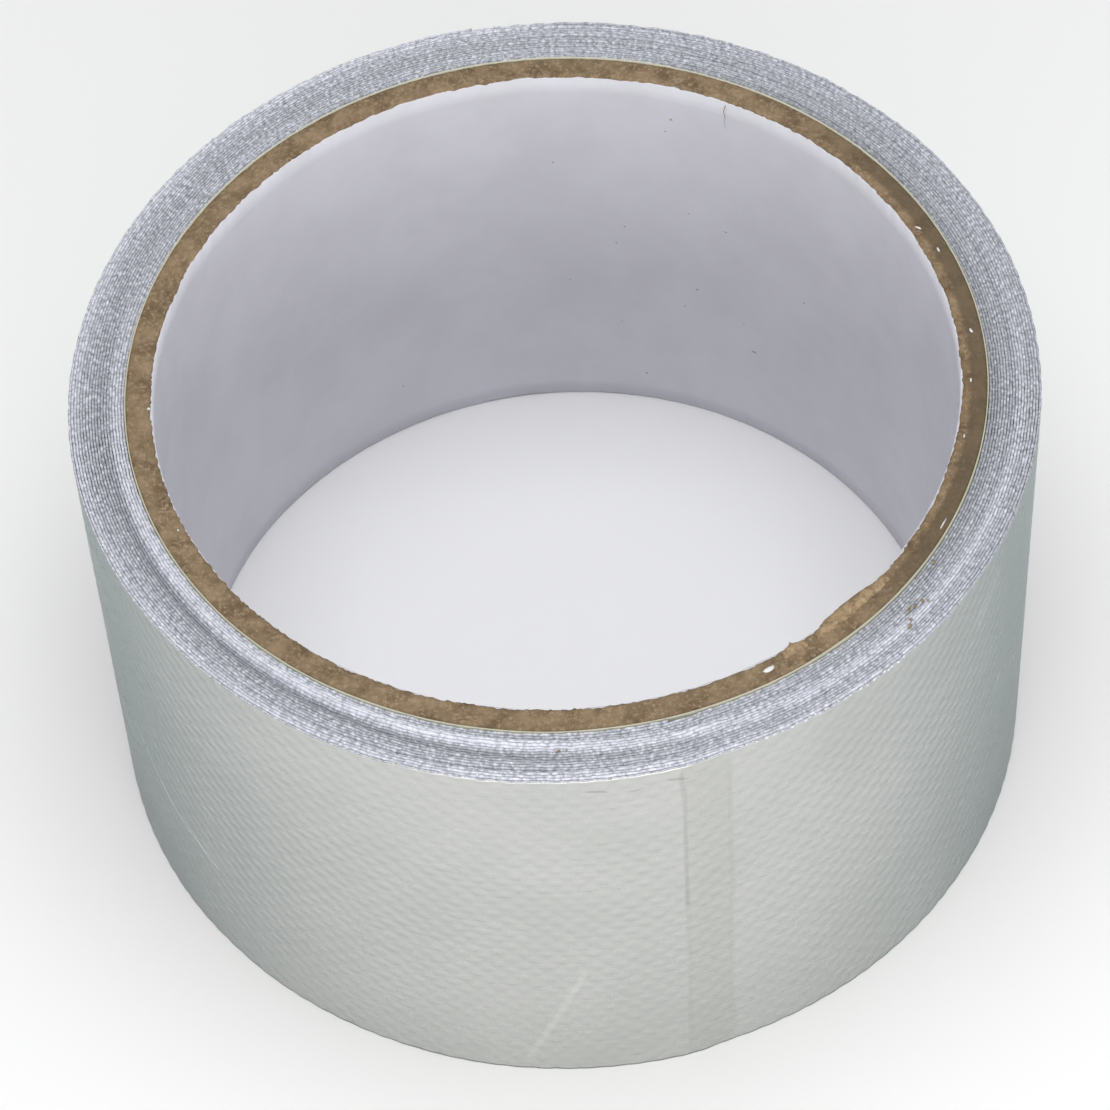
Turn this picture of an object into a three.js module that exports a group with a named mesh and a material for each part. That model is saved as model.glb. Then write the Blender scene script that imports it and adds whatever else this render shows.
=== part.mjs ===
// Roll of exhaust heat wrap: foil-faced glass cloth wound on a paper-lined board core.
// Millimetres, +Z up. The roll stands on its end, its axis on Z and its lower end at z = 0.
import * as THREE from 'three';

// Driving dimensions
const coreBore = 76.2;        // clear hole through the core
const linerThickness = 0.3;   // white paper ply inside the core
const coreWall = 2.3;         // kraft board without the white ply
const glueLine = 0.05;        // adhesive film between two layers
const stripWidth = 50;        // width of the heat wrap strip
const stripLength = 5000;     // length wound on the core
const stripThickness = 0.277; // foil, glass cloth and adhesive together
const edgeWander = 0.4;       // how far the turns stray sideways from each other
const wanderPhase = 2.4;      // radians of stray from one turn to the next
const flats = 60;             // facets round the roll

// Places that follow from them
const linerInner = coreBore / 2;
const linerOuter = linerInner + linerThickness;
const coreInner = linerOuter + glueLine;
const coreOuter = coreInner + coreWall;
const wrapInner = coreOuter + glueLine;
const wrapOuter = Math.sqrt(wrapInner ** 2 + (stripLength * stripThickness) / Math.PI);
const turns = Math.round(stripLength / (Math.PI * (wrapInner + wrapOuter)));
const turnPitch = (wrapOuter - wrapInner) / turns;
const coreLength = stripWidth + edgeWander;

// A closed profile of [radius, height] points, turned about Z.
function turned(name, profile, material) {
  const points = profile.map(([radius, height]) => new THREE.Vector2(radius, height));
  points.push(points[0].clone());
  const shape = new THREE.LatheGeometry(points, flats);
  const part = new THREE.Mesh(shape, material);
  part.name = name;
  part.rotation.x = Math.PI / 2;
  return part;
}

// A plain tube from z = 0 up to its length.
function tube(name, inner, outer, length, material) {
  return turned(name, [[inner, 0], [outer, 0], [outer, length], [inner, length]], material);
}

// Height of one turn's lower edge; the outermost turn stands on the floor.
function turnStray(turn) {
  return edgeWander * (0.5 - 0.5 * Math.cos(wanderPhase * (turns - 1 - turn)));
}

// The wound strip: each turn is one flat step on both ends.
function wrapRoll() {
  const lower = [];
  const upper = [];
  for (let turn = 0; turn < turns; turn += 1) {
    const inner = wrapInner + turn * turnPitch;
    const outer = inner + turnPitch;
    const stray = turnStray(turn);
    lower.push([inner, stray], [outer, stray]);
    upper.unshift([outer, stray + stripWidth], [inner, stray + stripWidth]);
  }
  const foil = new THREE.MeshStandardMaterial({ color: 0xc3c5c0, roughness: 0.38, metalness: 0.85 });
  return turned('wrap_roll', [...lower, ...upper], foil);
}

function cardboardCore() {
  const kraft = new THREE.MeshStandardMaterial({ color: 0x8c7355, roughness: 0.92, metalness: 0 });
  return tube('cardboard_core', coreInner, coreOuter, coreLength, kraft);
}

function coreLiner() {
  const whitePaper = new THREE.MeshStandardMaterial({ color: 0xc4c4cc, roughness: 0.8, metalness: 0 });
  return tube('core_liner', linerInner, linerOuter, coreLength, whitePaper);
}

const roll = new THREE.Group();
roll.add(wrapRoll(), cardboardCore(), coreLiner());

export default roll;
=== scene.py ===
import math

import bpy
import numpy as np
from mathutils import Matrix, Vector


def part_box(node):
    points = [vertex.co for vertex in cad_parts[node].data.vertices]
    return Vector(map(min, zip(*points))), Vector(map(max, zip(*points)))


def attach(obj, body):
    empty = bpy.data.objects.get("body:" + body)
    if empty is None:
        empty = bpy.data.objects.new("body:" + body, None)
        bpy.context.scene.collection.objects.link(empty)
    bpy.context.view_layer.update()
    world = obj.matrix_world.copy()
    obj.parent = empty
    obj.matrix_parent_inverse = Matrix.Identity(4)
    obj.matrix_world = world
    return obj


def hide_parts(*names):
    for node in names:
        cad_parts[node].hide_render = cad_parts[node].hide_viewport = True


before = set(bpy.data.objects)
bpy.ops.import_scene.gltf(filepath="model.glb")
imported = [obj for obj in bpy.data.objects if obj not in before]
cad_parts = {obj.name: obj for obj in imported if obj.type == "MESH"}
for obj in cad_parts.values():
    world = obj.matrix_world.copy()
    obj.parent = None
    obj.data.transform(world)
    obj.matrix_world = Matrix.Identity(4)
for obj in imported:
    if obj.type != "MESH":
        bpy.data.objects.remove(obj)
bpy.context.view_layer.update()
mm = 0.001


def boreRadius(node):
    # the smallest distance from the roll's axis to a corner of the node
    return min(math.hypot(v.co.x, v.co.y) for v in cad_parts[node].data.vertices)


wrapInner = boreRadius("wrap_roll")
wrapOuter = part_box("wrap_roll")[1].x
coreInner = boreRadius("cardboard_core")
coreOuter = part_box("cardboard_core")[1].x
liningInner = boreRadius("core_liner")
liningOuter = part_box("core_liner")[1].x
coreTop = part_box("cardboard_core")[1].z


# Angles are in degrees round the axis: 0 faces the camera (-Y) and 90 is on the right (+X)
def around(angle, radius, height):
    turn = np.radians(angle)
    flat = np.ones(np.broadcast(angle, radius, height).shape)
    return np.stack([radius * np.sin(turn) * flat, -radius * np.cos(turn) * flat, height * flat], -1)


def smooth(low, high, value):
    share = np.clip((value - low) / (high - low), 0, 1)
    return share * share * (3 - 2 * share)


def hump(centre, halfWidth, value):
    # 1 at the centre, easing to 0 at a half width on either side
    return 1 - smooth(0, halfWidth, np.abs(value - centre))


def angleFrom(angle, centre):
    # signed difference, -180 to 180
    return (angle - centre + 180) % 360 - 180


def drift(value, step, seed):
    # soft noise along a line, -1 to 1, with a new random height every step
    knots = np.random.default_rng(seed).uniform(-1, 1, 4096)
    place = value / step
    low = np.floor(place).astype(int)
    share = place - low
    share = share * share * (3 - 2 * share)
    return knots[low % 4096] * (1 - share) + knots[(low + 1) % 4096] * share


def ripple(angle, orders, seed):
    # soft noise round a ring, about -1 to 1
    draw = np.random.default_rng(seed)
    total = np.zeros(np.shape(angle))
    for order in orders:
        total = total + draw.uniform(0.4, 1) * np.sin(np.radians(angle) * order + draw.uniform(0, 6.28))
    return total / math.sqrt(len(orders))


def makePiece(name, points, faces, finishes, stands=()):
    # points: array (n, 3) in metres; faces: lists of corners; finishes: one material or several
    mesh = bpy.data.meshes.new(name)
    mesh.from_pydata(np.asarray(points).reshape(-1, 3).tolist(), [], faces)
    mesh.validate()
    piece = bpy.data.objects.new(name, mesh)
    bpy.context.scene.collection.objects.link(piece)
    for finish in finishes:
        mesh.materials.append(finish)
    mesh.polygons.foreach_set("use_smooth", [True] * len(mesh.polygons))
    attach(piece, "root")
    if stands:
        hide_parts(*stands)
    print("made", name, len(mesh.polygons), "faces")
    return piece


def gridFaces(rows, columns, closeRows=False, closeColumns=False, start=0):
    # quads of a grid of points numbered row by row
    lastRow = rows if closeRows else rows - 1
    lastColumn = columns if closeColumns else columns - 1
    r, c = np.meshgrid(np.arange(lastRow), np.arange(lastColumn), indexing="ij")
    rNext = (r + 1) % rows
    cNext = (c + 1) % columns
    corners = [r * columns + c, r * columns + cNext, rNext * columns + cNext, rNext * columns + c]
    return (np.stack(corners, -1).reshape(-1, 4) + start).tolist()


def store(piece, name, values):
    # keeps a vector on every point, for the materials to read
    layer = piece.data.attributes.new(name, "FLOAT_VECTOR", "POINT")
    layer.data.foreach_set("vector", np.asarray(values, np.float32).ravel())


# Shader nodes

class Wire:
    # one output of a node, with sums written as plain expressions
    def __init__(self, finish, socket):
        self.finish = finish
        self.socket = socket

    def maths(self, operation, first, second):
        return self.finish.add("ShaderNodeMath", {"operation": operation}, {0: first, 1: second})

    def __add__(self, other):
        return self.maths("ADD", self, other)

    def __radd__(self, other):
        return self.maths("ADD", other, self)

    def __sub__(self, other):
        return self.maths("SUBTRACT", self, other)

    def __rsub__(self, other):
        return self.maths("SUBTRACT", other, self)

    def __mul__(self, other):
        return self.maths("MULTIPLY", self, other)

    def __rmul__(self, other):
        return self.maths("MULTIPLY", other, self)

    def __pow__(self, other):
        return self.maths("POWER", self, other)


class Finish:
    # a material, its nodes and its shader
    def __init__(self, name):
        self.material = bpy.data.materials.new(name)
        self.material.use_nodes = True
        self.tree = self.material.node_tree
        self.tree.nodes.clear()

    def add(self, kind, settings=None, values=None, output=0):
        node = self.tree.nodes.new(kind)
        for name, value in (settings or {}).items():
            if name == "stops":
                ramp = node.color_ramp
                while len(ramp.elements) < len(value):
                    ramp.elements.new(0.5)
                for element, (place, colour) in zip(ramp.elements, value):
                    element.position = place
                    element.color = (*colour, 1)
            else:
                setattr(node, name, value)
        for key, value in (values or {}).items():
            socket = node.inputs[key]
            if isinstance(value, Wire):
                self.tree.links.new(value.socket, socket)
            else:
                socket.default_value = value
        return Wire(self, node.outputs[output]) if len(node.outputs) else node

    def cosine(self, value):
        return self.add("ShaderNodeMath", {"operation": "COSINE"}, {0: value})

    def size(self, value):
        return self.add("ShaderNodeMath", {"operation": "ABSOLUTE"}, {0: value})

    def objectPlace(self):
        return self.add("ShaderNodeTexCoord", output="Object")

    def stored(self, name):
        return self.add("ShaderNodeAttribute", {"attribute_name": name}, output="Vector")

    def parts(self, vector):
        split = self.add("ShaderNodeSeparateXYZ", values={0: vector})
        return [Wire(self, out) for out in split.socket.node.outputs]

    def stretched(self, vector, scale):
        return self.add("ShaderNodeVectorMath", {"operation": "MULTIPLY"}, {0: vector, 1: scale})

    def noise(self, place, scale, detail=2.0, roughness=0.5):
        return self.add("ShaderNodeTexNoise", values={
            "Vector": place, "Scale": scale, "Detail": detail, "Roughness": roughness})

    def ease(self, value, low, high):
        return self.add("ShaderNodeMapRange", {"interpolation_type": "SMOOTHSTEP"},
                        {"Value": value, "From Min": low, "From Max": high})

    def colour(self, value, stops):
        return self.add("ShaderNodeValToRGB", {"stops": stops}, {"Fac": value})

    def blend(self, share, first, second):
        colours = [(*c, 1) if isinstance(c, tuple) else c for c in (first, second)]
        return self.add("ShaderNodeMix", {"data_type": "RGBA"},
                        {"Factor": share, 6: colours[0], 7: colours[1]}, output=2)

    def bump(self, height, strength, distance, under=None):
        values = {"Height": height, "Strength": strength, "Distance": distance}
        if under:
            values["Normal"] = under
        return self.add("ShaderNodeBump", values=values)

    def surface(self, values):
        shader = self.add("ShaderNodeBsdfPrincipled", values=values)
        self.add("ShaderNodeOutputMaterial", values={"Surface": shader})
        return self.material


# The strip: one long band of foil-faced glass cloth. Its start lies on the core,
# and its tail is the roll's outer end.
strip = {
    "width": 50 * mm,
    "thickness": 0.275 * mm,
    "startAngle": 11.6,        # the start's cut edge, under all the turns
    "stepWidth": 5.7,          # degrees in which every turn climbs over that edge
    "tailAngle": -172.0,       # at the back, out of sight in the photo
    "layers": 18,              # whole turns, and then the part turn to the tail
    "columnPitch": 1.153 * mm,
    "rowPitch": 50 / 45 * mm,
}
turnsInAll = strip["layers"] + (strip["startAngle"] - strip["tailAngle"]) / 360
outOfRound = {"size": 0.06 * mm, "orders": (2, 3, 5), "seed": 4}
seamTurns = 0.02      # how far the last turn reaches under the tail
outerStart = turnsInAll - 1 - seamTurns


def stripAngle(turn):
    # the strip is wound clockwise, seen from above
    return strip["startAngle"] - 360 * turn


def stripRadius(turn):
    # radius of the strip's inner face: level on the turn below, with a ramp where it
    # climbs over the start's edge
    layer = np.floor(turn)
    rampStart = 1 - strip["stepWidth"] / 360
    level = np.where(turn < rampStart, 0, layer + smooth(rampStart, 1, turn - layer))
    bulge = outOfRound["size"] * ripple(stripAngle(turn), outOfRound["orders"], outOfRound["seed"])
    return wrapInner + strip["thickness"] * level + bulge * level / strip["layers"]


def faceArc(angle):
    # where an angle on the outer face lies along the last turn, in metres
    turn = (strip["startAngle"] - angle) / 360
    turn = turn + math.ceil(outerStart - turn)
    return (turn - outerStart) * 2 * math.pi * wrapOuter


# Foil of the outer face, pressed into the weave of the cloth behind it
foil = Finish("crinkled foil")
stripPlace = foil.stored("strip")
arcWire, heightWire, _ = foil.parts(stripPlace)
across = foil.cosine(arcWire * (math.pi / strip["columnPitch"]))
along = foil.cosine(heightWire * (math.pi / strip["rowPitch"]))
pits = (0.5 - 0.5 * (across * along)) ** 2.0
grooves = (1 - foil.size(along)) ** 2.0
threads = 1 - 0.7 * pits - 0.3 * grooves
crinkle = foil.noise(foil.stretched(stripPlace, (1, 1, 0)), 900, 3)
smudge = foil.noise(foil.stretched(stripPlace, (1, 1, 0)), 55, 4, 0.6)
scuff = foil.noise(foil.stretched(stripPlace, (1, 5, 0)), 260, 3, 0.6)
# The band where the turns climb over the strip's start, felt through them all
band = {"left": 11.5, "leftEase": 0.2, "right": 17.4, "rightEase": 0.4, "share": 0.45}
# Marks on the foil: from and to as (angle, height in mm), half width in mm, and tone,
# where 1 leaves the foil as it is. The first three are the band's two edges, darkened as painted shadow of
# the step there; the last three are painted shadows below the rim.
foilMarksAndPaintedShadows = [
    # painted shadow along the band's two edges, where the turns step over the strip's start
    {"from": (12.0, 1), "to": (11.75, 30), "half": 0.40, "markAndPaintedShadowTone": 0.965},
    {"from": (11.75, 27), "to": (11.5, 49.3), "half": 0.30, "markAndPaintedShadowTone": 0.88},
    {"from": (17.4, 2), "to": (17.1, 48), "half": 0.40, "markAndPaintedShadowTone": 0.95},
    {"from": (-8, 2), "to": (-0.4, 18), "half": 0.45, "markAndPaintedShadowTone": 1.10},
    {"from": (-67, 22), "to": (-58, 16), "half": 0.14, "markAndPaintedShadowTone": 1.9},
    {"from": (-58, 16.3), "to": (-50, 13.4), "half": 0.17, "markAndPaintedShadowTone": 1.7},
    {"from": (28.6, 7.4), "to": (31.6, 6.6), "half": 0.15, "markAndPaintedShadowTone": 1.12},
    {"from": (62.6, 25.4), "to": (63.4, 26.6), "half": 0.22, "markAndPaintedShadowTone": 1.8},
    {"from": (55, 42), "to": (61, 46), "half": 1.6, "markAndPaintedShadowTone": 1.08},
    # painted shadows under lifted foil edges, as dark dashes just below the rim
    {"from": (0.5, 48.4), "to": (3.2, 48.1), "half": 0.16, "markAndPaintedShadowTone": 0.72},
    {"from": (5.4, 47.6), "to": (7.0, 47.9), "half": 0.14, "markAndPaintedShadowTone": 0.75},
    {"from": (9.6, 48.5), "to": (12.2, 48.0), "half": 0.16, "markAndPaintedShadowTone": 0.74},
]
# scales the foil's colour: lighter marks above 1, painted shadow below 1
markAndPaintedShadowTone = 1.0
for mark in foilMarksAndPaintedShadows:
    begin, end = (np.array([faceArc(a), h * mm]) for a, h in (mark["from"], mark["to"]))
    reach = np.linalg.norm(end - begin)
    way = (end - begin) / reach
    fromArc = arcWire - float(begin[0])
    fromHeight = heightWire - float(begin[1])
    alongMark = fromArc * float(way[0]) + fromHeight * float(way[1])
    acrossMark = fromHeight * float(way[0]) - fromArc * float(way[1])
    inside = foil.ease(foil.size(acrossMark), mark["half"] * mm, 0.3 * mark["half"] * mm)
    middle = float(reach / 2)
    ends = foil.ease(foil.size(alongMark - middle), middle + 0.3 * mm, middle - 0.5 * mm)
    markAndPaintedShadowTone = markAndPaintedShadowTone + inside * ends * (mark["markAndPaintedShadowTone"] - 1)
fromRight = foil.ease(arcWire, faceArc(band["right"]), faceArc(band["right"] - band["rightEase"]))
fromLeft = foil.ease(arcWire, faceArc(band["left"]), faceArc(band["left"] + band["leftEase"]))
foilNormal = foil.bump(crinkle, 0.25, 0.04 * mm, foil.bump(threads, 0.25, 0.10 * mm))
plain = foil.blend(foil.ease(smudge, 0.35, 0.7), (0.62, 0.62, 0.60), (0.575, 0.58, 0.56))
banded = foil.blend(fromRight * fromLeft * band["share"], plain, (0.56, 0.56, 0.53))
toned = foil.add("ShaderNodeVectorMath", {"operation": "SCALE"}, {0: banded, "Scale": markAndPaintedShadowTone})
foilMaterial = foil.surface({
    "Base Color": toned,
    "Metallic": 0.97,
    "Specular Tint": (0.46, 0.52, 0.54, 1),
    "Roughness": 0.22 + 0.10 * smudge + 0.06 * foil.ease(scuff, 0.5, 0.75),
    "Normal": foilNormal})

# Cut glass cloth seen on the wound edges
glass = Finish("glass cloth edge")
edgePlace = glass.stored("strip")
# the third stored value is painted light and shade on the cut edges
edgePaintedLightShade = glass.parts(edgePlace)[2]
edgeThreads = glass.noise(glass.stretched(edgePlace, (1, 0.4, 0)), 2400, 3)
patches = glass.noise(glass.objectPlace(), 160, 3)
glassMaterial = glass.surface({
    "Base Color": glass.blend(glass.ease(edgeThreads + 0.42 * (edgePaintedLightShade - 0.45), 0.26, 0.76),
                              (0.27, 0.285, 0.31), (0.73, 0.735, 0.81)),
    "Metallic": 0.15,
    "Roughness": 0.42 + 0.2 * patches,
    "Normal": glass.bump(edgeThreads, 0.5, 0.05 * mm)})

# Brown core board
kraft = Finish("kraft board")
kraftPlace = kraft.objectPlace()
fibres = kraft.noise(kraftPlace, 2600, 3, 0.7)
mottle = kraft.noise(kraftPlace, 420, 4, 0.65)
brown = kraft.colour(mottle, [(0.36, (0.130, 0.083, 0.043)), (0.64, (0.265, 0.188, 0.108))])
kraftMaterial = kraft.surface({
    "Base Color": kraft.blend(kraft.parts(kraft.stored("ply"))[0] * 0.75,
                              kraft.blend(kraft.ease(fibres, 0.46, 0.72), brown, (0.33, 0.24, 0.15)),
                              (0.105, 0.075, 0.043)),
    "Roughness": 0.86,
    "Normal": kraft.bump(fibres, 0.6, 0.12 * mm)})

# White paper inside the core
paper = Finish("white lining paper")
paperPlace = paper.objectPlace()
paperGrain = paper.noise(paperPlace, 1100, 3, 0.6)
paperStain = paper.noise(paperPlace, 120, 3, 0.6)
paperMaterial = paper.surface({
    "Base Color": paper.blend(paper.ease(paperStain, 0.3, 0.75), (0.66, 0.655, 0.71), (0.61, 0.605, 0.65)),
    "Roughness": 0.62,
    "Normal": paper.bump(paperGrain, 0.25, 0.06 * mm)})

# Cream paper between the core and the first turn
cream = Finish("cream paper")
creamPlace = cream.objectPlace()
creamMaterial = cream.surface({
    "Base Color": cream.blend(cream.noise(creamPlace, 700, 3), (0.60, 0.59, 0.46), (0.46, 0.45, 0.35)),
    "Roughness": 0.8,
    "Normal": cream.bump(cream.noise(creamPlace, 1500, 2), 0.3, 0.05 * mm)})

# Small things
glue = Finish("dried glue")
glueMaterial = glue.surface({
    "Base Color": glue.blend(glue.noise(glue.objectPlace(), 900, 2), (0.78, 0.77, 0.79), (0.66, 0.65, 0.63)),
    "Roughness": 0.45,
    "Normal": glue.bump(glue.noise(glue.objectPlace(), 1800, 2), 0.3, 0.05 * mm)})
specks = Finish("lining specks")
speckColour = specks.noise(specks.objectPlace(), 260, 1)
speckMaterial = specks.surface({
    "Base Color": specks.colour(speckColour, [(0.4, (0.26, 0.27, 0.20)), (0.6, (0.40, 0.32, 0.22))]),
    "Roughness": 0.8,
    "Normal": specks.bump(specks.noise(specks.objectPlace(), 2500, 2), 0.3, 0.03 * mm)})
paleKraft = Finish("torn kraft")
paleFibres = paleKraft.noise(paleKraft.objectPlace(), 1500, 4, 0.7)
paleKraftMaterial = paleKraft.surface({
    "Base Color": paleKraft.blend(paleKraft.ease(paleFibres, 0.3, 0.7),
                                  (0.20, 0.135, 0.075), (0.42, 0.305, 0.175)),
    "Roughness": 0.85,
    "Normal": paleKraft.bump(paleFibres, 0.6, 0.08 * mm)})
brightGlass = Finish("loose glass fibre")
brightGlassMaterial = brightGlass.surface({
    "Base Color": brightGlass.blend(brightGlass.noise(brightGlass.objectPlace(), 400, 2),
                                    (0.62, 0.63, 0.68), (0.86, 0.87, 0.90)),
    "Roughness": 0.3,
    "Normal": brightGlass.bump(brightGlass.noise(brightGlass.objectPlace(), 3000, 1), 0.2, 0.02 * mm)})


# Outer turn: the last turn of the strip, with its weave under the foil
weave = {
    "relief": 0.115 * mm,
    "perColumn": 2,            # points for each thread up the roll
    "perRow": 4,               # points for each thread round it
    "wave": 0.05 * mm,
    "wander": 0.16 * mm,
    "crest": 0.07 * mm,        # how far the cut threads stand over the foil
    "inset": 0.03 * mm,
}


def weaveHeight(column, row):
    # plain weave, 0 to 1: rows run round the roll, columns up it, each over and under the other
    across = np.cos(math.pi * column)
    along = np.cos(math.pi * row)
    pit = (0.5 - 0.5 * across * along) ** 2
    groove = (1 - np.abs(along)) ** 2
    return 1 - 0.7 * pit - 0.3 * groove


def edgeRidgeAndPaintedLight(angle, radius):
    # how light the cut threads are, 0 to 1: painted light on a raised ridge and on the front of the rim,
    # painted shade in a channel outside the ridge
    fromFront = angleFrom(angle, 0)
    r = radius / mm
    # a raised ridge, moving outward from left to right, pale with painted light, and a channel of painted
    # shade outside it
    ridge = np.interp(fromFront, [-110, -60, -30, 0, 30, 60, 100], [41.3, 41.4, 41.6, 42.2, 43.1, 43.4, 43.7])
    ridgeShare = np.interp(fromFront, [-112, -80, -60, 0, 30, 60, 120], [0, 0.34, 0.44, 0.42, 0.42, 0.32, 0])
    channelShare = np.interp(fromFront, [-85, -60, -30, 0, 12], [0, 0.42, 0.34, 0.1, 0])
    paintedLightShade = 0.42 + ridgeShare * hump(ridge, 0.95, r) - channelShare * hump(ridge + 1.15, 0.6, r)
    # painted highlight on the outer rim at the front, and darker around 43 mm
    rim = smooth(44.5, 45.3, r) * (1 - smooth(40, 60, fromFront))
    paintedLightShade = paintedLightShade - 0.12 * hump(43.0, 1.2, r) + 0.22 * rim
    # the turns next to the core are greyer on the right
    inside = 1 - smooth(41.2, 42.3, r)
    return paintedLightShade - 0.24 * inside * smooth(20, 60, fromFront) * (1 - smooth(140, 175, fromFront))


def outerTurn():
    length = 2 * math.pi * wrapOuter * (1 + seamTurns)
    columns = int(length / strip["columnPitch"] * weave["perColumn"])
    rows = int(round(strip["width"] / strip["rowPitch"])) * weave["perRow"] + 1
    turn = np.linspace(outerStart, turnsInAll, columns)[:, None]
    z = np.linspace(0, strip["width"], rows)[None, :]
    arc = (turn - outerStart) * 2 * math.pi * wrapOuter + 0 * z
    angle = stripAngle(turn)
    # the threads wander, and stand out more in some places than in others
    sideways = drift(z + 3 * arc, 5 * mm, 11) + drift(arc, 3 * mm, 12)
    upward = drift(arc + 0.7 * z, 6 * mm, 13) + 0.6 * drift(arc - 2 * z, 2.5 * mm, 14)
    threadArc = arc + weave["wander"] * sideways
    threadZ = z + weave["wander"] * upward
    relief = weaveHeight(threadArc / strip["columnPitch"], threadZ / strip["rowPitch"])
    uneven = 0.75 + 0.25 * drift(arc * 1.7 + 31 * z, 2.2 * mm, 15) + 0.25 * drift(arc + 5 * z, 9 * mm, 16)
    wave = weave["wave"] * (drift(arc, 7 * mm, 3) + drift(z + 0.2 * arc, 9 * mm, 8))
    innerFace = stripRadius(turn)
    outerFace = innerFace + strip["thickness"] - weave["relief"] * uneven * (1 - relief) + wave * 0.5
    # the cut edges are uneven, which fades out 3 mm into the face
    fine = 0.10 * mm * drift(arc[:, 0], strip["columnPitch"] * 0.5, 21)
    tuft = fine + 0.06 * mm * drift(arc[:, 0], 6 * mm, 22)
    zTop = strip["width"] + tuft
    zLow = np.abs(tuft) * 0.5
    nearTop = smooth(0.047, 0.05, z)
    nearLow = 1 - smooth(0, 0.003, z)
    height = z + (zTop - strip["width"])[:, None] * nearTop + zLow[:, None] * nearLow
    face = around(angle, outerFace, height)
    column = angle[:, 0]
    under = innerFace[:, 0] + weave["inset"]
    middle = innerFace[:, 0] + 0.55 * strip["thickness"]
    crest = around(column, middle, zTop + weave["crest"])[:, None]
    innerTop = around(column, under, zTop - weave["inset"])[:, None]
    innerLow = around(column, under, zLow)[:, None]
    points = np.concatenate([face, crest, innerTop, innerLow], 1)
    ring = points.shape[1]
    faces = gridFaces(columns, ring, closeColumns=True)
    faces.append(list(range(ring)))
    faces.append(list(range((columns - 1) * ring, columns * ring))[::-1])
    piece = makePiece("outer_turn", points, faces, [foilMaterial, glassMaterial], ["wrap_roll"])
    heights = np.concatenate([threadZ, zTop[:, None], zTop[:, None], zLow[:, None]], 1)
    arcs = np.concatenate([threadArc, np.repeat(arc[:, :1], 3, 1)], 1)
    # painted light and shade for the cut edges; none on the foil
    paintedLightShade = np.zeros_like(arcs)
    paintedLightShade[:, rows:] = edgeRidgeAndPaintedLight(angle, wrapOuter)
    store(piece, "strip", np.stack([arcs, heights, paintedLightShade], -1))
    isEdge = np.tile(np.arange(ring) >= rows - 1, columns - 1).tolist() + [True, True]
    piece.data.polygons.foreach_set("material_index", np.array(isEdge, int))


outerTurn()


# Inner turns, whose edges make the wound end of the roll
woundEdge = {
    "perTuft": 4,              # points for each cut thread
    "stray": 0.10 * mm,        # how far a whole turn stands above or below the others
    "tuft": 0.09 * mm,
    "crimp": 0.018 * mm,
}


def edgeHeight(turn, angle, radius):
    # how far the cut edge of a turn stands above the strip's nominal width
    layer = np.floor(turn)
    own = drift(turn * 3.1 + layer * 17.3, 1.0, 31) * woundEdge["stray"]
    return 0.12 * mm + own + 0.4 * mm * (edgeRidgeAndPaintedLight(angle, radius) - 0.45)


def innerTurns():
    length = 2 * math.pi * (wrapInner + wrapOuter) / 2 * outerStart
    count = int(length / strip["columnPitch"] * woundEdge["perTuft"])
    turn = np.linspace(0, outerStart, count)
    angle = stripAngle(turn)
    innerFace = stripRadius(turn)
    arc = turn * 2 * math.pi * (wrapInner + wrapOuter) / 2
    tuft = woundEdge["tuft"] * drift(arc, strip["columnPitch"] * 0.31, 41)
    tuft = tuft + 0.5 * woundEdge["tuft"] * drift(arc, 5 * mm, 42)
    phase = 2 * math.pi * arc / strip["columnPitch"] / 2 + 1.5 * drift(arc, 4 * mm, 43)
    crimp = woundEdge["crimp"] * np.sin(phase)
    zTop = strip["width"] + edgeHeight(turn, angle, innerFace) + tuft
    zLow = 0.02 * mm + np.abs(tuft)
    thick = strip["thickness"]
    ring = np.stack([
        around(angle, innerFace + 0.02 * mm, zLow),
        around(angle, innerFace + thick - 0.02 * mm, zLow),
        around(angle, innerFace + thick * 0.92 + crimp, zTop - 0.06 * mm),
        around(angle, innerFace + thick * (0.5 + 0.3 * drift(arc, 0.9 * mm, 45)) + crimp, zTop),
        around(angle, innerFace + thick * 0.08 + crimp, zTop - 0.06 * mm),
    ], 1)
    faces = gridFaces(count, 5, closeColumns=True)
    faces.append(list(range(5)))
    faces.append(list(range((count - 1) * 5, count * 5))[::-1])
    piece = makePiece("inner_turns", ring, faces, [glassMaterial], ["wrap_roll"])
    heights = np.stack([zLow, zLow, zTop, zTop, zTop], 1)
    arcs = np.repeat(arc[:, None], 5, 1)
    # painted light and shade for the cut edges
    paintedLightShade = np.repeat(edgeRidgeAndPaintedLight(angle, innerFace)[:, None], 5, 1)
    store(piece, "strip", np.stack([arcs, heights, paintedLightShade], -1))


innerTurns()


# Core: a wound board tube with ragged cut ends, its cream outer ply and its white lining
core = {
    "sections": 900,
    "creamWidth": 0.12 * mm,
    "overhang": 0.17 * mm,      # how far the board's ragged inner edge stands over the lining
    "endRough": 0.05 * mm,
    "groove": {"radius": 39.05 * mm, "half": 0.22 * mm, "deep": 0.16 * mm, "angle": 83, "reach": 52},
}


def tubeRing(name, profile, sections, finish, stands):
    # profile(angle) gives radii and heights of a closed section, one row per angle
    angle = np.arange(sections) * 360 / sections
    radii, heights = profile(angle)
    points = around(angle[:, None], radii, heights)
    faces = gridFaces(sections, radii.shape[1], closeRows=True, closeColumns=True)
    faces = [f[::-1] for f in faces]
    return makePiece(name, points, faces, [finish], stands)


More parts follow.
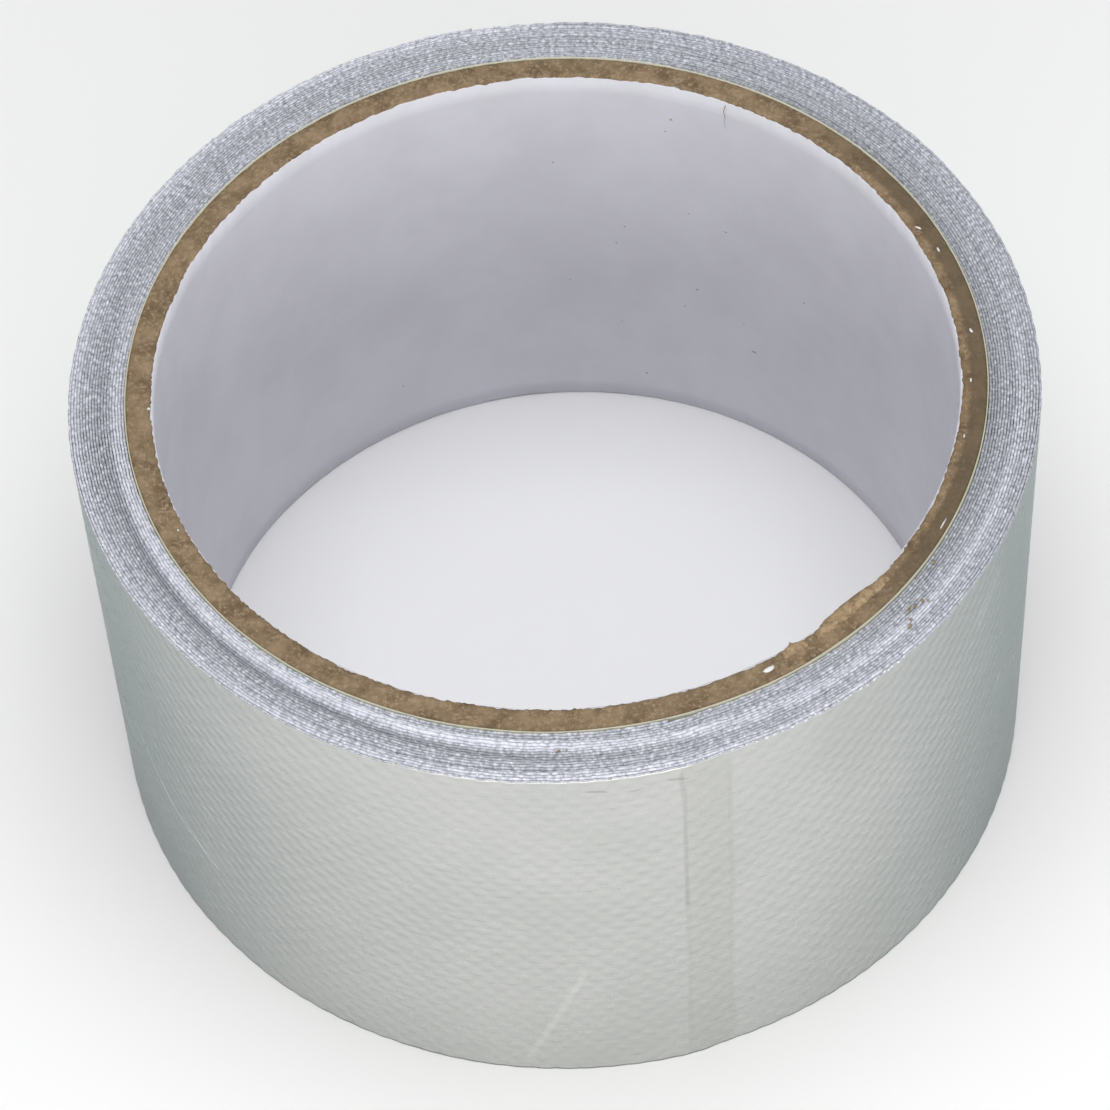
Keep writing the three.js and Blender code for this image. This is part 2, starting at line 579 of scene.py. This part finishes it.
def coreSection(angle):
    inner, outer = coreInner - core["overhang"], coreOuter - core["creamWidth"]
    across = np.linspace(0, 1, 13)
    radius = inner + (outer - inner) * across
    angles = angle[:, None]
    grain = drift(angles + 40 * across, 0.7, 51) + 0.7 * drift(angles - 33 * across, 0.35, 52)
    rough = core["endRough"] * grain
    cut = core["groove"]
    cutAcross = hump(cut["radius"], cut["half"], radius)[None, :]
    groove = cut["deep"] * cutAcross * hump(cut["angle"], cut["reach"], angleFrom(angles, 0))
    rounded = 0.12 * mm * (smooth(0.85, 1, across) + smooth(0.12, 0, across))[None, :]
    top = coreTop - 0.18 * mm + rough - groove - rounded
    edgeWander = np.zeros_like(top)
    edgeWander[:, 0] = 0.10 * mm * drift(angle, 0.45, 53) + 0.07 * mm * drift(angle, 3.1, 54)
    low = 0.02 * mm + np.abs(rough) * 0.5
    below = np.maximum(radius + 0 * angles, coreInner)
    radii = np.concatenate([radius + edgeWander, below[:, ::-1]], 1)
    heights = np.concatenate([top, low[:, ::-1]], 1)
    return radii, heights


coreTube = tubeRing("core_tube", coreSection, core["sections"], kraftMaterial,
                    ["cardboard_core"])
corePoints = np.array([v.co[:] for v in coreTube.data.vertices])
coreAngles = np.degrees(np.arctan2(corePoints[:, 0], -corePoints[:, 1]))
darkPly = smooth(38.9 * mm, 39.25 * mm, np.hypot(corePoints[:, 0], corePoints[:, 1]))
darkPly = darkPly * smooth(38, 56, coreAngles) * (1 - smooth(118, 150, coreAngles))
store(coreTube, "ply", np.stack([darkPly, 0 * darkPly, 0 * darkPly], -1))


def creamSection(angle):
    low = coreOuter - core["creamWidth"]
    wobble = 0.05 * mm * ripple(angle, (3, 7, 11, 23), 61)
    top = coreTop - 0.12 * mm + wobble
    level = 0 * angle
    radii = np.stack([low + level, coreOuter - 0.03 * mm + level, coreOuter + level,
                      coreOuter + level, low + level], 1)
    foot = 0.03 * mm + level
    heights = np.stack([top - 0.05 * mm, top, top - 0.05 * mm, foot, foot], 1)
    return radii, heights


tubeRing("cream_ply", creamSection, 360, creamMaterial, ["cardboard_core"])


def liningSection(angle):
    angles = angle[:, None]
    up = np.linspace(0, 1, 24)
    top = coreTop - 0.42 * mm + 0.10 * mm * drift(angle, 1.1, 71) + 0.05 * mm * drift(angle, 9.0, 72)
    low = 0.12 * mm + 0.10 * mm * drift(angle, 1.3, 73)
    height = low[:, None] + (top - low)[:, None] * up
    dent = 0.04 * mm * drift(angles + 200 * up, 14.0, 74)
    inner = liningInner + 0.03 * mm + dent
    outer = np.full((len(angle), 2), liningOuter)
    radii = np.concatenate([inner, outer], 1)
    heights = np.concatenate([height, top[:, None], low[:, None]], 1)
    return radii, heights


tubeRing("core_lining", liningSection, 720, paperMaterial, ["core_liner"])


# Small loose things: lumps and strands, gathered into one mesh for each piece
class Heap:
    def __init__(self, seed):
        self.points = []
        self.faces = []
        self.draw = np.random.default_rng(seed)

    def lump(self, place, axes, sizes):
        # an uneven pebble; axes are three unit vectors and sizes its half lengths along them
        start = len(self.points)
        rows, columns = 5, 9
        low = np.linspace(-1.1, 1.1, rows)[:, None]
        way = np.arange(columns)[None, :] * 2 * math.pi / columns
        uneven = 1 + 0.22 * self.draw.uniform(-1, 1, (rows, columns))
        ball = np.stack([np.cos(low) * np.cos(way) * uneven, np.cos(low) * np.sin(way) * uneven,
                         np.sin(low) * uneven], -1).reshape(-1, 3)
        ball = np.concatenate([ball, [(0, 0, -1), (0, 0, 1)]])
        self.points.extend((np.asarray(place) + (ball * np.asarray(sizes)) @ np.asarray(axes)).tolist())
        self.faces.extend(gridFaces(rows, columns, closeColumns=True, start=start))
        for c in range(columns):
            follow = (c + 1) % columns
            top = start + (rows - 1) * columns
            self.faces.append([start + follow, start + c, start + rows * columns])
            self.faces.append([top + c, top + follow, start + rows * columns + 1])

    def strand(self, path, thick):
        # a thin fibre along the path, with three sides and a tapered tip
        path = np.asarray(path)
        start = len(self.points)
        ahead = path[-1] - path[0]
        ahead = ahead / np.linalg.norm(ahead)
        side = np.cross(ahead, (0.3, 0.2, 0.93))
        side = side / np.linalg.norm(side)
        other = np.cross(ahead, side)
        for step, place in enumerate(path):
            radius = thick / 2 * (1 - 0.7 * step / (len(path) - 1))
            for way in (0, 2.094, 4.189):
                self.points.append((place + radius * (side * math.cos(way) + other * math.sin(way))).tolist())
        self.faces.extend(gridFaces(len(path), 3, closeColumns=True, start=start))
        last = start + 3 * (len(path) - 1)
        self.faces.append([start + 2, start + 1, start])
        self.faces.append([last, last + 1, last + 2])


def outwardAxes(angle, lean=0.0):
    # sideways round the roll, outward from its axis, and up; lean turns the first two round the third
    turn = math.radians(angle + lean)
    return np.array([(math.cos(turn), math.sin(turn), 0), (math.sin(turn), -math.cos(turn), 0), (0, 0, 1)])


# Dried glue on the core's end: angle, radius, half length, half width, lean (mm and degrees)
glueBits = [(26.6, 39.40, 0.62, 0.27, 6), (59.9, 40.1, 0.75, 0.07, 0), (84.9, 39.06, 0.25, 0.11, 0),
            (93.6, 39.6, 0.30, 0.12, 20), (113.6, 39.0, 0.34, 0.09, 30), (108.8, 39.5, 0.30, 0.10, 0),
            (-88.1, 38.42, 0.16, 0.14, 0), (75, 38.95, 0.22, 0.08, 0), (-66, 38.9, 0.12, 0.08, 40)]


def glueOnCore():
    heap = Heap(81)
    for angle, radius, long, wide, lean in glueBits:
        place = around(angle, radius * mm, coreTop - 0.13 * mm)
        heap.lump(place, outwardAxes(angle, lean), np.array([long, wide, 0.11]) * mm)
    makePiece("dried_glue", heap.points, heap.faces, [glueMaterial])


glueOnCore()

# Bits of board on the wound edge: angle, radius, half length, half width (mm and degrees)
boardBits = [(44.3, 43.85, 0.34, 0.14), (45.1, 43.45, 0.20, 0.15), (46.3, 42.6, 0.42, 0.12),
             (47.0, 42.75, 0.26, 0.14), (48.2, 42.9, 0.20, 0.16), (48.6, 43.3, 0.12, 0.10),
             (53.9, 41.35, 0.20, 0.13), (52.9, 41.5, 0.14, 0.08), (-2.2, 42.8, 0.24, 0.10),
             (-1.2, 42.7, 0.12, 0.08), (133, 42.1, 0.12, 0.09)]


def bitsOnEdge():
    heap = Heap(82)
    for angle, radius, long, wide in boardBits:
        place = around(angle, radius * mm, strip["width"] + 0.26 * mm)
        heap.lump(place, outwardAxes(angle, 25), np.array([long, wide, 0.10]) * mm)
    makePiece("board_bits", heap.points, heap.faces, [paleKraftMaterial])


bitsOnEdge()

# Specks on the lining: angle from the back (90 is on the right), height, half width and
# half height, in mm and degrees
liningSpecks = [(20, 45.4, 0.16, 0.11), (19, 43.5, 0.10, 0.08), (1.5, 37.5, 0.10, 0.10),
                (12.2, 27.9, 0.12, 0.10), (10.8, 25.2, 0.14, 0.09), (22.5, 31.7, 0.10, 0.08),
                (28.6, 30.5, 0.22, 0.08), (42.8, 25, 0.10, 0.08), (23.7, 19.9, 0.12, 0.09),
                (21.6, 16.7, 0.10, 0.08), (3.3, 19, 0.10, 0.07), (11.2, 12.5, 0.10, 0.08),
                (31.7, 16.9, 0.12, 0.08), (33.5, 12.9, 0.30, 0.07), (-25.2, 7.3, 0.10, 0.08),
                (15, 4.2, 0.12, 0.07)]


def specksOnLining():
    heap = Heap(83)
    for fromBack, height, wide, high in liningSpecks:
        angle = 180 - fromBack
        place = around(angle, liningInner + 0.02 * mm, height * mm)
        side, outward, up = outwardAxes(angle)
        heap.lump(place, [side, up, outward], np.array([wide, high, 0.05]) * mm)
    makePiece("lining_specks", heap.points, heap.faces, [speckMaterial])


specksOnLining()

# Torn ply of the core, standing into the hole: angle and radius of its edge
tornEdge = [(34.6, 38.5), (35.6, 38.35), (36.4, 38.1), (37.5, 37.85), (39.5, 37.75),
            (41.7, 37.65), (43.6, 37.8), (45.1, 38.02), (46.4, 38.2), (47.4, 38.4), (48.4, 38.5)]
smallTear = [(29.2, 38.45), (30.1, 38.3), (30.8, 38.15), (31.35, 37.75), (31.5, 38.15),
             (32.2, 38.35), (33, 38.45)]


def tornPly(heap, edge, thick):
    # a thin leaf from inside the board's end to the torn edge
    start = len(heap.points)
    angles = np.interp(np.arange(0, len(edge) - 0.9, 0.25), np.arange(len(edge)), [e[0] for e in edge])
    radii = np.interp(angles, [e[0] for e in edge], [e[1] for e in edge])
    radii = radii + 0.05 * heap.draw.uniform(-1, 1, len(radii))
    share = np.array([0, 0.35, 0.7, 1])[None, :]
    root = 39.3 - 0.2 * heap.draw.uniform(0, 1, len(angles))
    radius = root[:, None] * (1 - share) + radii[:, None] * share
    droop = 0.35 * np.maximum(38.4 - radius, 0) + 0.35 * np.maximum(radius - 38.85, 0)
    droop = droop + 0.05 * heap.draw.uniform(-1, 1, radius.shape)
    top = coreTop - 0.06 * mm - droop * mm
    above = around(angles[:, None], radius * mm, top)
    below = around(angles[:, None], radius * mm, top - thick)
    rows = len(angles)
    points = np.concatenate([above, below[:, ::-1]], 1)
    heap.points.extend(points.reshape(-1, 3).tolist())
    heap.faces.extend(gridFaces(rows, 8, closeColumns=True, start=start))
    heap.faces.append([start + c for c in range(8)])
    heap.faces.append([start + (rows - 1) * 8 + c for c in range(8)][::-1])


def tornBoard():
    heap = Heap(84)
    tornPly(heap, tornEdge, 0.20 * mm)
    tornPly(heap, smallTear, 0.12 * mm)
    makePiece("torn_ply", heap.points, heap.faces, [paleKraftMaterial])


tornBoard()


# Loose fibres
fuzz = {
    "onCore": 260,
    "onEdge": 1300,
    "onRim": 420,
    "threadEnds": 150,
    "paperThick": 0.045 * mm,
    "glassThick": 0.04 * mm,
}


def boardFuzz():
    heap = Heap(85)
    for angle in heap.draw.uniform(0, 360, fuzz["onCore"]):
        long = heap.draw.uniform(0.15, 0.55) * mm
        lean = heap.draw.normal(0, 0.9)
        begin = around(angle, coreInner + 0.1 * mm, coreTop - 0.22 * mm)
        side, outward, up = outwardAxes(angle)
        way = side * math.sin(lean) - outward * abs(math.cos(lean)) * 0.7 + up * heap.draw.uniform(-0.1, 0.25)
        path = [begin + way * long * t + up * 0.1 * long * math.sin(3 * t) for t in (0, 0.4, 0.75, 1)]
        heap.strand(path, fuzz["paperThick"])
    # one long fibre hanging at the back
    hanging = [(28.8, 49.7, 0.0), (28.6, 49.0, 0.25), (28.9, 48.2, 0.3), (28.7, 47.4, 0.22),
               (29.0, 46.7, 0.3)]
    path = [around(180 - a, liningInner - inward * mm, z * mm) for a, z, inward in hanging]
    heap.strand(path, 0.10 * mm)
    makePiece("board_fuzz", heap.points, heap.faces, [paleKraftMaterial])


boardFuzz()


def glassFuzz():
    heap = Heap(86)
    for number in range(fuzz["onEdge"] + fuzz["onRim"]):
        onRim = number >= fuzz["onEdge"]
        angle = heap.draw.uniform(0, 360)
        radius = heap.draw.uniform(45.45, 45.75) if onRim else heap.draw.uniform(41.0, 45.6)
        height = 50.05 if onRim else 50.12
        long = heap.draw.uniform(0.2, 0.6) * mm
        side, outward, up = outwardAxes(angle, heap.draw.normal(0, 14))
        way = side * heap.draw.choice([-1, 1]) + up * heap.draw.uniform(0.0, 0.3)
        way = way + outward * (heap.draw.uniform(0, 0.25) if onRim else heap.draw.normal(0, 0.12))
        begin = around(angle, radius * mm, height * mm)
        middle = begin + way * long * 0.5 + up * 0.03 * mm
        heap.strand([begin, middle, begin + way * long], fuzz["glassThick"])
    # cut thread ends along the rim
    for number in range(fuzz["threadEnds"]):
        angle = (number + heap.draw.uniform(0, 0.8)) * 0.8 - 78
        side, outward, up = outwardAxes(angle, 10)
        place = around(angle, heap.draw.uniform(45.55, 45.72) * mm, heap.draw.uniform(49.96, 50.1) * mm)
        sizes = heap.draw.uniform(0.05, 0.17, 3) * np.array([1.4, 0.7, 0.7]) * mm
        heap.lump(place, [side, outward, up], sizes)
    # one thicker fibre at the back
    ends = [(-174.9, 45.6, 50.1), (-174.6, 45.75, 50.25)]
    heap.strand([around(a, r * mm, z * mm) for a, r, z in ends], 0.1 * mm)
    makePiece("glass_fuzz", heap.points, heap.faces, [brightGlassMaterial])


glassFuzz()


# Floor
def makeFloor():
    finish = Finish("pale floor")
    pale = finish.noise(finish.objectPlace(), 3, 2)
    colour = finish.blend(pale, (0.90, 0.90, 0.90), (0.92, 0.92, 0.92))
    material = finish.surface({"Base Color": colour, "Roughness": 0.8})
    mesh = bpy.data.meshes.new("floor")
    half = 1.5
    corners = [(-half, -half, 0), (half, -half, 0), (half, half, 0), (-half, half, 0)]
    mesh.from_pydata(corners, [], [(0, 1, 2, 3)])
    mesh.materials.append(material)
    floor = bpy.data.objects.new("floor", mesh)
    bpy.context.scene.collection.objects.link(floor)


makeFloor()


# Light
light = {
    "front": {
        "place": (0.0, -0.483, 0.129),
        "width": 0.50,
        "height": 0.24,
        "power": 1.40,
        "colour": (1.0, 0.995, 0.97),
    },
    "top": {
        "place": (0.0, -0.017, 0.50),
        "width": 0.36,
        "height": 0.36,
        "power": 1.32,
        "colour": (0.98, 0.99, 1.0),
    },
    "right": {
        "place": (0.50, -0.15, 0.30),
        "width": 0.30,
        "height": 0.30,
        "power": 0.15,
        "colour": (1.0, 1.0, 1.0),
    },
    "room": {"colour": (1.0, 1.0, 1.0), "strength": 0.49},
    "aim": (0, 0, 0.02),
}


def softbox(name, place, width, height, power, colour):
    lamp = bpy.data.lights.new(name, "AREA")
    lamp.shape = "RECTANGLE"
    lamp.size = width
    lamp.size_y = height
    lamp.energy = power
    lamp.color = colour
    holder = bpy.data.objects.new(name, lamp)
    holder.location = place
    aim = Vector(light["aim"]) - Vector(place)
    holder.rotation_euler = aim.to_track_quat("-Z", "Y").to_euler()
    holder.visible_camera = False
    bpy.context.scene.collection.objects.link(holder)


softbox("front_light", **light["front"])
softbox("top_light", **light["top"])
softbox("right_light", **light["right"])
world = bpy.data.worlds.new("room")
world.use_nodes = True
background = world.node_tree.nodes["Background"]
background.inputs["Color"].default_value = (*light["room"]["colour"], 1)
background.inputs["Strength"].default_value = light["room"]["strength"]
bpy.context.scene.world = world
bpy.context.scene.view_settings.view_transform = "Standard"


# Camera, as fitted to the photo's outlines
camera = {
    "place": (0.0, -263.94 * mm, 376.39 * mm),
    "yaw": -0.2268,
    "pitchDown": 53.3315,
    "roll": -3.4664,
    "lens": 144.16,
    "sensor": 36,
}


def makeCamera():
    yaw, pitch, roll = (math.radians(camera[k]) for k in ("yaw", "pitchDown", "roll"))
    ahead = Vector((math.sin(yaw) * math.cos(pitch), math.cos(yaw) * math.cos(pitch), -math.sin(pitch)))
    level = Vector((math.cos(yaw), -math.sin(yaw), 0))
    upright = level.cross(ahead)
    right = math.cos(roll) * level + math.sin(roll) * upright
    up = -math.sin(roll) * level + math.cos(roll) * upright
    data = bpy.data.cameras.new("camera")
    data.lens = camera["lens"]
    data.sensor_width = camera["sensor"]
    data.clip_start = 0.01
    holder = bpy.data.objects.new("camera", data)
    turn = Matrix((right, up, -ahead)).transposed().to_4x4()
    holder.matrix_world = Matrix.Translation(camera["place"]) @ turn
    bpy.context.scene.collection.objects.link(holder)
    bpy.context.scene.camera = holder


makeCamera()
